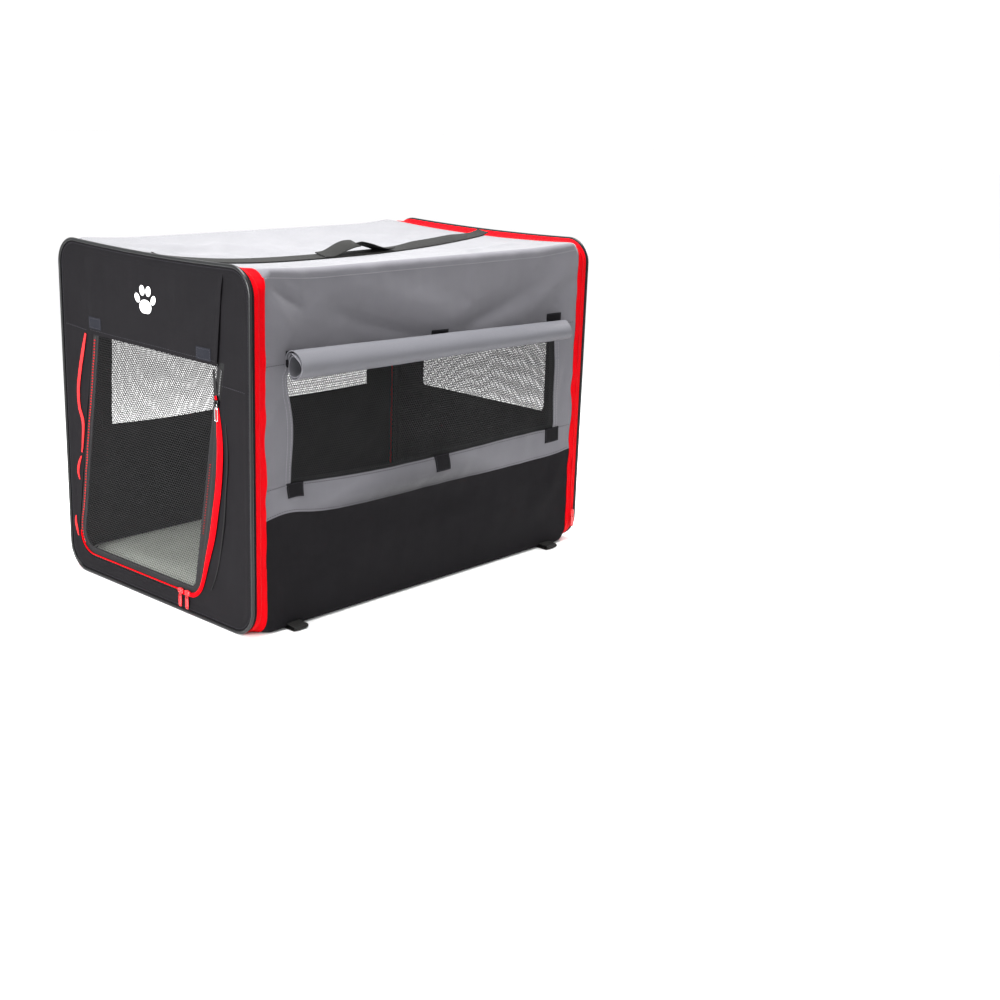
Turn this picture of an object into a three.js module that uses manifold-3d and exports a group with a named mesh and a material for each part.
// Folding pet crate: a soft-sided crate with two zip-on end panels on tube hoops, a centre sleeve that
// folds flat like an accordion, mesh windows with roll-up covers and a zipped mesh entrance door.
// Millimetres. X runs from the front end (-X) to the rear end (+X), -Y is the near side, +Z is up.
// The origin is on the floor, under the middle of the crate.

import * as THREE from 'three';
import { mergeVertices } from 'three/addons/utils/BufferGeometryUtils.js';
import Module from 'manifold-3d';

const wasm = await Module();
wasm.setup();

// ---------------------------------------------------------------- driving dimensions
const LENGTH = 715; // over both end panels
const WIDTH = 450; // of an end panel
const HEIGHT = 520; // of an end panel
const END_CORNER = 42; // radius of an end panel's corners
const GAP = 0.3; // left between neighbouring pieces

// end panels, measured inwards from the outer face (depth) and from the outline (inset)
const PIPING = 5; // diameter of the corded edge
const SKIN_DEPTH = 3; // from the outer face to the fabric wall
const CLOTH = 2; // thickness of a fabric wall
const TRAY_DEPTH = 12; // the fabric wall's turned-back edge ends here
const TRAY_INSET = PIPING + 0.4;
const HOOP_TUBE = 8; // diameter of the bent tube in an end panel
const HOOP_DEPTH = 9; // from the outer face to the tube's centre
const HOOP_INSET = 12.5; // from the outline to the tube's centre
const EIGHT_SIDED = 0.29; // bevel that makes a square section a regular octagon, as a share of its side
const BAND_DEPTH = 15; // the panel's half of the zip ends here
const BAND_INSET = 1;
const BAND_OPENING = 165; // half width of the stretch along the floor that has no zip
const BAND_TURN = 12; // height that the open stretch is cut to

// doorway in the front panel
const DOOR_HALF = 155;
const DOOR_BOTTOM = 28;
const DOOR_TOP = 371;
const DOOR_CORNER = { near: 25, far: 45 }; // radii of its lower corners
const DOOR_LEAN = 0.18; // its sides lean to the far side by this much of the way down
const DOOR_UPRIGHT = 322; // height at which its middle is the crate's middle
const DOOR_HANG = 366.5; // height of the line that the mesh door swings on
const TRACK_WIDTH = 8; // zip track round the doorway
const TRACK_DEPTH = 4.5;
const TRACK_THICK = 2;
const NET = 1.2; // thickness of netting
const FLAP_TOP = 496.5;
const FLAP_DEPTH = 1.5;
const FLAP_THICK = 1.2;
const FLAP_PATCH = [30, 24]; // width and height of a hook-and-loop patch on the flap
const FLAP_PATCH_Y = 125;

// window in the rear panel and in both sides
const WINDOW_BOTTOM = 208;
const WINDOW_TOP = 378;
const REAR_WINDOW_HALF = 153;
const SIDE_WINDOW_HALF = 277;
const WINDOW_CORNER = 12;

// sleeve
const SLEEVE_HALF = LENGTH / 2 - BAND_DEPTH - 0.5;
const WALL_OUT = 219; // outer face of a side wall, from the middle
const WALL_IN = WALL_OUT - CLOTH;
const FOLDS = [40, 161, 274.5, 382, 497]; // heights of the fold lines, from the skirt to the hem
const FOLD_GAP = 0.2; // cleared on each side of a fold line
const TOP_EDGE = 510; // height of the sleeve's long top edges
const TOP_SAG = 14; // that the top hangs down in the middle
const STRAP_CLEARANCE = 0.6; // under the strap at the lowest point of the top

// floor
const BOARD = 3;
const MAT_TOP = 36;
const MAT_HALF = [336, 205];
const MAT_CORNER = 20;
const MAT_BEVEL = 4;
const RAIL = 10; // diameter of a floor rail
const RAIL_WALL = 1.2;
const FLOOR_RAIL_Y = 211.3;
const TOP_RAIL = 9;
const TOP_RAIL_Y = 211.7;
const TOP_RAIL_Z = 502;

// straps, patches, covers and sliders
const TAB = [25, 20, 1.5]; // tie-down tab: width, free length, thickness
const TAB_X = 280;
const WEBBING = 26; // width of the carrying strap
const WEBBING_THICK = 1.5;
const HANDLE_X = 40; // the loop's middle, a little behind the crate's
const HANDLE_HALF = 75; // half the loop's length along the strap
const HANDLE_FOOT = 15; // length sewn flat to the strap at each end
const HANDLE_RISE = 20;
const PATCH = [32, 22, 1.4]; // hook-and-loop patch on a side
const PATCH_Z = 197;
const PATCH_X = [-277, 10, 282];
const ROLL_RADIUS = 20;
const ROLL_CORE = 14; // inner radius of the rolled cover
const ROLL_HALF = 293;
const ROLL_Z = 385;
const SLIDER = [7.4, 12, 1.5]; // zip slider: width, length, thickness
const PULL = [7, 25, 0.8]; // pull tab: width, length, thickness
const PULL_HEAD = 0.6; // that a pull reaches above its hinge
const DOOR_SLIDERS = { near: -76, far: -60 };
const SIDE_SLIDER_Z = 325;
const END_SLIDER_Z = 50;
const END_SLIDER_DEPTH = 12; // from the outer face to the slider's middle

// ---------------------------------------------------------------- materials
const finish = (color, roughness, metalness = 0) =>
  new THREE.MeshStandardMaterial({ color, roughness, metalness });

const looks = {
  blackCloth: () => finish(0x2c2c2e, 0.8),
  greyCloth: () => finish(0x77767b, 0.8),
  topCloth: () => finish(0x9a9a9e, 0.8),
  net: () => finish(0x151516, 0.7),
  webbing: () => finish(0x1c1c1e, 0.85),
  piping: () => finish(0x232325, 0.5),
  redZip: () => finish(0xd8001c, 0.6),
  steel: () => finish(0x9b9b9b, 0.35, 1),
  board: () => finish(0x3a3a3a, 0.6),
  mat: () => finish(0xb9b9b6, 0.9),
  hook: () => finish(0x1a1a1c, 0.9),
  blackSlider: () => finish(0x111111, 0.3, 0.8),
  silver: () => finish(0xc8c8c8, 0.3, 1),
};

// ---------------------------------------------------------------- solids
function toSolid(geometry) {
  const plain = geometry.index ? geometry.toNonIndexed() : geometry.clone();
  plain.deleteAttribute('normal');
  plain.deleteAttribute('uv');
  const merged = mergeVertices(plain, 1e-4);
  return new wasm.Manifold(new wasm.Mesh({
    numProp: 3,
    vertProperties: new Float32Array(merged.attributes.position.array),
    triVerts: new Uint32Array(merged.index.array),
  }));
}

function toGeometry(solid) {
  const mesh = solid.getMesh();
  const geometry = new THREE.BufferGeometry();
  geometry.setAttribute('position', new THREE.BufferAttribute(mesh.vertProperties, 3));
  geometry.setIndex(new THREE.BufferAttribute(mesh.triVerts, 1));
  return geometry;
}

function cut(geometry, ...tools) {
  return toGeometry(tools.reduce((left, tool) => left.subtract(toSolid(tool)), toSolid(geometry)));
}

function box(low, high) {
  const size = high.map((value, axis) => value - low[axis]);
  const geometry = new THREE.BoxGeometry(...size);
  return geometry.translate(...low.map((value, axis) => value + size[axis] / 2));
}

// A shape drawn in (y, z) becomes a plate that starts at x and is thick along +X.
const YZ_TO_ROW = new THREE.Matrix4().makeBasis(
  new THREE.Vector3(0, 1, 0),
  new THREE.Vector3(0, 0, 1),
  new THREE.Vector3(1, 0, 0),
);

function plate(shape, x, thickness, bevel = 0) {
  const geometry = new THREE.ExtrudeGeometry(shape, {
    depth: thickness - 2 * bevel,
    bevelEnabled: bevel > 0,
    bevelThickness: bevel,
    bevelSize: bevel,
    bevelOffset: -bevel,
    bevelSegments: 1,
    curveSegments: 5,
    steps: 1,
  });
  geometry.translate(0, 0, bevel);
  return geometry.applyMatrix4(YZ_TO_ROW).translate(x, 0, 0);
}

// A tube along X, centred on the origin.
function tubeX(length, outer, inner) {
  const half = length / 2;
  const profile = [[inner, -half], [outer, -half], [outer, half], [inner, half], [inner, -half]];
  const geometry = new THREE.LatheGeometry(profile.map(([r, h]) => new THREE.Vector2(r, h)), 12);
  return geometry.rotateZ(-Math.PI / 2);
}

// ---------------------------------------------------------------- outlines in (y, z)
function roundedOutline(path, halfWidth, bottom, top, lower, upper = lower) {
  path.moveTo(-halfWidth + lower, bottom);
  path.lineTo(halfWidth - lower, bottom);
  if (lower > 0) path.absarc(halfWidth - lower, bottom + lower, lower, -Math.PI / 2, 0);
  path.lineTo(halfWidth, top - upper);
  if (upper > 0) path.absarc(halfWidth - upper, top - upper, upper, 0, Math.PI / 2);
  path.lineTo(-halfWidth + upper, top);
  if (upper > 0) path.absarc(-halfWidth + upper, top - upper, upper, Math.PI / 2, Math.PI);
  path.lineTo(-halfWidth, bottom + lower);
  if (lower > 0) path.absarc(-halfWidth + lower, bottom + lower, lower, Math.PI, 1.5 * Math.PI);
  return path;
}

// The outline of an end panel, set in by the same distance all round.
function endOutline(path, inset) {
  return roundedOutline(path, WIDTH / 2 - inset, inset, HEIGHT - inset, END_CORNER - inset);
}

function endRing(outerInset, innerInset) {
  const ring = endOutline(new THREE.Shape(), outerInset);
  ring.holes.push(endOutline(new THREE.Path(), innerInset));
  return ring;
}

// The doorway, set in by the same distance at its sides and bottom. It is drawn upright, then leant.
function doorOutline(inset, top) {
  const half = DOOR_HALF - inset;
  const bottom = DOOR_BOTTOM + inset;
  const near = DOOR_CORNER.near - inset;
  const far = DOOR_CORNER.far - inset;
  const upright = new THREE.Shape();
  upright.moveTo(-half + near, bottom);
  upright.lineTo(half - far, bottom);
  upright.absarc(half - far, bottom + far, far, -Math.PI / 2, 0);
  upright.lineTo(half, top);
  upright.lineTo(-half, top);
  upright.lineTo(-half, bottom + near);
  upright.absarc(-half + near, bottom + near, near, Math.PI, 1.5 * Math.PI);
  return new THREE.Shape(upright.getPoints(5).map(
    ({ x: y, y: z }) => new THREE.Vector2(y + doorLean(z), z)));
}

function doorLean(z) {
  return DOOR_LEAN * (DOOR_UPRIGHT - z);
}

// ---------------------------------------------------------------- the scene graph
const crate = new THREE.Group();
crate.name = 'folding_pet_crate';

function group(parent, x = 0, y = 0, z = 0, turn = 0) {
  const made = new THREE.Group();
  made.position.set(x, y, z);
  made.rotation.z = turn;
  parent.add(made);
  return made;
}

function part(parent, name, geometry, material) {
  const mesh = new THREE.Mesh(geometry, material);
  mesh.name = name;
  parent.add(mesh);
  return mesh;
}

// ---------------------------------------------------------------- zip sliders and pulls
// A slider lies on its zip, facing -X, with its length along Z, or along Y where the zip is level.
// Its pull hangs from its middle.
function zipSlider(parent, name, sliderLook, pullLook, level = false) {
  const [width, length, thick] = SLIDER;
  const [across, along] = level ? [length, width] : [width, length];
  const body = roundedOutline(new THREE.Shape(), across / 2, -along / 2, along / 2, 2.4, 1.5);
  part(parent, `${name}_slider`, plate(body, -thick, thick), sliderLook);
  const [pullWidth, pullLength, pullThick] = PULL;
  const tab = roundedOutline(
    new THREE.Shape(), pullWidth / 2, PULL_HEAD - pullLength, PULL_HEAD, 3, 0.5);
  part(parent, `${name}_pull`, plate(tab, -thick - GAP - pullThick, pullThick), pullLook);
}

// ---------------------------------------------------------------- floor
function addFloor() {
  const channel = new THREE.Shape([
    [-WALL_OUT, 0], [WALL_OUT, 0], [WALL_OUT, FOLDS[0] - FOLD_GAP], [WALL_IN, FOLDS[0] - FOLD_GAP],
    [WALL_IN, CLOTH], [-WALL_IN, CLOTH], [-WALL_IN, FOLDS[0] - FOLD_GAP],
    [-WALL_OUT, FOLDS[0] - FOLD_GAP],
  ].map(([y, z]) => new THREE.Vector2(y, z)));
  part(crate, 'base_shell', plate(channel, -SLEEVE_HALF, 2 * SLEEVE_HALF), looks.blackCloth());

  const boardBottom = CLOTH + GAP;
  const boardTop = boardBottom + BOARD;
  const [matX, matY] = MAT_HALF;
  part(crate, 'base_board',
    box([-matX, -matY + 1, boardBottom], [matX, matY - 1, boardTop]), looks.board());

  const matShape = roundedOutline(new THREE.Shape(), matX, -matY, matY, MAT_CORNER);
  const mat = new THREE.ExtrudeGeometry(matShape, {
    depth: MAT_TOP - boardTop - GAP - 2 * MAT_BEVEL,
    bevelThickness: MAT_BEVEL,
    bevelSize: MAT_BEVEL,
    bevelOffset: -MAT_BEVEL,
    bevelSegments: 1,
    curveSegments: 4,
  });
  part(crate, 'floor_mat', mat.translate(0, 0, boardTop + GAP + MAT_BEVEL), looks.mat());

  for (const [side, sign] of [['near', -1], ['far', 1]]) {
    const rail = part(crate, `base_rail_${side}`,
      tubeX(2 * MAT_HALF[0], RAIL / 2, RAIL / 2 - RAIL_WALL), looks.steel());
    rail.position.set(0, sign * FLOOR_RAIL_Y, CLOTH + GAP + RAIL / 2);
    for (const [end, endSign] of [['front', -1], ['rear', 1]]) {
      const tab = part(crate, `tie_tab_${side}_${end}`,
        new THREE.BoxGeometry(...TAB), looks.webbing());
      tab.position.set(endSign * TAB_X, sign * (WALL_OUT + GAP + TAB[1] / 2), TAB[2] / 2);
    }
  }
}

// ---------------------------------------------------------------- end panels
// In an end's own group x is the depth inwards from its outer face.
function addEndCommon(end, name) {
  const hoopRing = endRing(HOOP_INSET - HOOP_TUBE / 2, HOOP_INSET + HOOP_TUBE / 2);
  const hoop = plate(hoopRing, HOOP_DEPTH - HOOP_TUBE / 2, HOOP_TUBE, HOOP_TUBE * EIGHT_SIDED);
  part(end, `${name}_frame`, hoop, looks.steel());

  part(end, `${name}_piping`, plate(endRing(0, PIPING), 0, PIPING, PIPING * EIGHT_SIDED), looks.piping());

  const band = plate(
    endRing(BAND_INSET, BAND_INSET + CLOTH), PIPING + GAP, BAND_DEPTH - PIPING - GAP);
  const opening = box(
    [0, -BAND_OPENING, -1], [BAND_DEPTH + 1, BAND_OPENING, BAND_TURN]);
  part(end, `${name}_zip_band`, cut(band, opening), looks.redZip());

  const zip = group(
    end, END_SLIDER_DEPTH, WIDTH / 2 - BAND_INSET + GAP, END_SLIDER_Z, -Math.PI / 2);
  zipSlider(zip, `${name}_zip`, looks.redZip(), looks.redZip());
}

function endPanel(opening) {
  const wall = plate(endOutline(new THREE.Shape(), TRAY_INSET), SKIN_DEPTH, TRAY_DEPTH - SKIN_DEPTH);
  const hollow = plate(
    endOutline(new THREE.Shape(), TRAY_INSET + CLOTH), SKIN_DEPTH + CLOTH, TRAY_DEPTH);
  return cut(wall, hollow, plate(opening, 0, TRAY_DEPTH + 1));
}

function addFrontEnd() {
  const end = group(crate, -LENGTH / 2);
  addEndCommon(end, 'front');
  part(end, 'front_panel', endPanel(doorOutline(0, DOOR_TOP)), looks.blackCloth());

  const track = plate(doorOutline(GAP, DOOR_TOP - GAP), TRACK_DEPTH, TRACK_THICK);
  const inside = plate(doorOutline(TRACK_WIDTH, DOOR_TOP + 1), 0, TRAY_DEPTH);
  part(end, 'door_zip_track', cut(track, inside), looks.redZip());

  const net = doorOutline(TRACK_WIDTH + 2 * GAP, DOOR_HANG);
  part(end, 'mesh_door', plate(net, TRACK_DEPTH + 0.4, NET), looks.net());

  const flap = roundedOutline(new THREE.Shape(), DOOR_HALF, DOOR_TOP + GAP, FLAP_TOP, 6, 0);
  part(end, 'door_flap', plate(flap, FLAP_DEPTH, FLAP_THICK), looks.blackCloth());

  const [patchWidth, patchHeight] = FLAP_PATCH;
  for (const [side, sign] of [['near', -1], ['far', 1]]) {
    const patch = part(end, `flap_patch_${side}`,
      new THREE.BoxGeometry(1, patchWidth, patchHeight), looks.hook());
    patch.position.set(
      FLAP_DEPTH - GAP - 0.5, sign * FLAP_PATCH_Y, DOOR_TOP + GAP + patchHeight / 2 + 1);
  }

  const sliderX = SKIN_DEPTH - GAP;
  const trackMiddle = TRACK_WIDTH / 2;
  for (const side of ['near', 'far']) {
    const zip = group(end, sliderX, DOOR_SLIDERS[side], DOOR_BOTTOM + trackMiddle);
    zipSlider(zip, `door_${side}`, looks.redZip(), looks.redZip(), true);
  }
  const sideY = -DOOR_HALF + trackMiddle + doorLean(SIDE_SLIDER_Z);
  const sideZip = group(end, sliderX, sideY, SIDE_SLIDER_Z);
  zipSlider(sideZip, 'door_side', looks.blackSlider(), looks.silver());
}

function windowOutline(halfWidth, inset) {
  return roundedOutline(new THREE.Shape(), halfWidth - inset, WINDOW_BOTTOM + inset,
    WINDOW_TOP - inset, WINDOW_CORNER);
}

function addRearEnd() {
  const end = group(crate, LENGTH / 2, 0, 0, Math.PI);
  addEndCommon(end, 'rear');
  const opening = windowOutline(REAR_WINDOW_HALF, 0);
  part(end, 'rear_panel', endPanel(opening), looks.blackCloth());
  const net = windowOutline(REAR_WINDOW_HALF, GAP);
  part(end, 'rear_window', plate(net, SKIN_DEPTH + 0.4, NET), looks.net());
}

// ---------------------------------------------------------------- sides
// Both sides are the near side's four sections, the far one turned round the crate's middle.
function addSide(name, turn) {
  const side = group(crate, 0, 0, 0, turn);
  const netY = -WALL_IN - (CLOTH + NET) / 2;
  const windowHole = box(
    [-SIDE_WINDOW_HALF, -WALL_OUT - 1, WINDOW_BOTTOM],
    [SIDE_WINDOW_HALF, -WALL_IN + 1, WINDOW_TOP]);

  ['a', 'b', 'c', 'd'].forEach((letter, index) => {
    const bottom = FOLDS[index] + FOLD_GAP;
    const top = FOLDS[index + 1] - FOLD_GAP;
    const look = letter === 'a' ? looks.blackCloth() : looks.greyCloth();
    const wall = box([-SLEEVE_HALF, -WALL_OUT, bottom], [SLEEVE_HALF, -WALL_IN, top]);
    const hasWindow = letter === 'b' || letter === 'c';
    part(side, `${name}_side_${letter}`, hasWindow ? cut(wall, windowHole) : wall, look);
    if (hasWindow) {
      const netBottom = Math.max(bottom, WINDOW_BOTTOM + GAP);
      const netTop = Math.min(top, WINDOW_TOP - GAP);
      const net = box(
        [-SIDE_WINDOW_HALF + GAP, netY, netBottom],
        [SIDE_WINDOW_HALF - GAP, netY + NET, netTop]);
      part(side, `${name}_net_${letter}`, net, looks.net());
    }
  });

  const [patchWidth, patchHeight, patchThick] = PATCH;
  PATCH_X.forEach((x, index) => {
    const patch = part(side, `${name}_patch_${index + 1}`,
      new THREE.BoxGeometry(patchWidth, patchThick, patchHeight), looks.hook());
    patch.position.set(x, -WALL_OUT - GAP - patchThick / 2, PATCH_Z);
  });

  const roll = part(side, `${name}_cover_roll`,
    tubeX(2 * ROLL_HALF, ROLL_RADIUS, ROLL_CORE), looks.greyCloth());
  roll.position.set(0, -WALL_OUT - GAP - ROLL_RADIUS, ROLL_Z);
}

// ---------------------------------------------------------------- top
function addTop() {
  const hem = FOLDS[4] + FOLD_GAP;
  const profile = new THREE.Shape();
  profile.moveTo(-WALL_OUT, hem);
  profile.lineTo(-WALL_IN, hem);
  profile.lineTo(-WALL_IN, TOP_EDGE - CLOTH);
  profile.quadraticCurveTo(0, TOP_EDGE - CLOTH - 2 * TOP_SAG, WALL_IN, TOP_EDGE - CLOTH);
  profile.lineTo(WALL_IN, hem);
  profile.lineTo(WALL_OUT, hem);
  profile.lineTo(WALL_OUT, TOP_EDGE);
  profile.quadraticCurveTo(0, TOP_EDGE - 2 * TOP_SAG, -WALL_OUT, TOP_EDGE);
  part(crate, 'top_panel', plate(profile, -SLEEVE_HALF, 2 * SLEEVE_HALF), looks.topCloth());

  for (const [side, sign] of [['near', -1], ['far', 1]]) {
    const rail = part(crate, `top_rail_${side}`,
      tubeX(2 * MAT_HALF[0], TOP_RAIL / 2, TOP_RAIL / 2 - RAIL_WALL), looks.steel());
    rail.position.set(0, sign * TOP_RAIL_Y, TOP_RAIL_Z);
  }

  const strapBottom = TOP_EDGE - TOP_SAG + STRAP_CLEARANCE;
  const strapTop = strapBottom + WEBBING_THICK;
  part(crate, 'top_strap',
    box([-SLEEVE_HALF, -WEBBING / 2, strapBottom], [SLEEVE_HALF, WEBBING / 2, strapTop]),
    looks.webbing());
  part(crate, 'carry_handle', handleArch(strapTop + GAP), looks.webbing());
}

// The loop of webbing that stands up from the strap: flat feet, and an arch between them.
function handleArch(bottom) {
  const foot = HANDLE_HALF - HANDLE_FOOT;
  const crown = bottom + HANDLE_RISE;
  const arch = new THREE.Shape();
  arch.moveTo(-HANDLE_HALF, bottom);
  arch.lineTo(-foot, bottom);
  arch.bezierCurveTo(-foot / 2, bottom, -foot / 2, crown, 0, crown);
  arch.bezierCurveTo(foot / 2, crown, foot / 2, bottom, foot, bottom);
  arch.lineTo(HANDLE_HALF, bottom);
  const over = bottom + WEBBING_THICK;
  const top = crown + WEBBING_THICK;
  arch.lineTo(HANDLE_HALF, over);
  arch.lineTo(foot, over);
  arch.bezierCurveTo(foot / 2, over, foot / 2, top, 0, top);
  arch.bezierCurveTo(-foot / 2, top, -foot / 2, over, -foot, over);
  arch.lineTo(-HANDLE_HALF, over);
  const geometry = new THREE.ExtrudeGeometry(arch, {
    depth: WEBBING, bevelEnabled: false, curveSegments: 8,
  });
  return geometry.rotateX(Math.PI / 2).translate(HANDLE_X, WEBBING / 2, 0);
}

addFloor();
addFrontEnd();
addRearEnd();
addSide('near', 0);
addSide('far', Math.PI);
addTop();

export default crate;
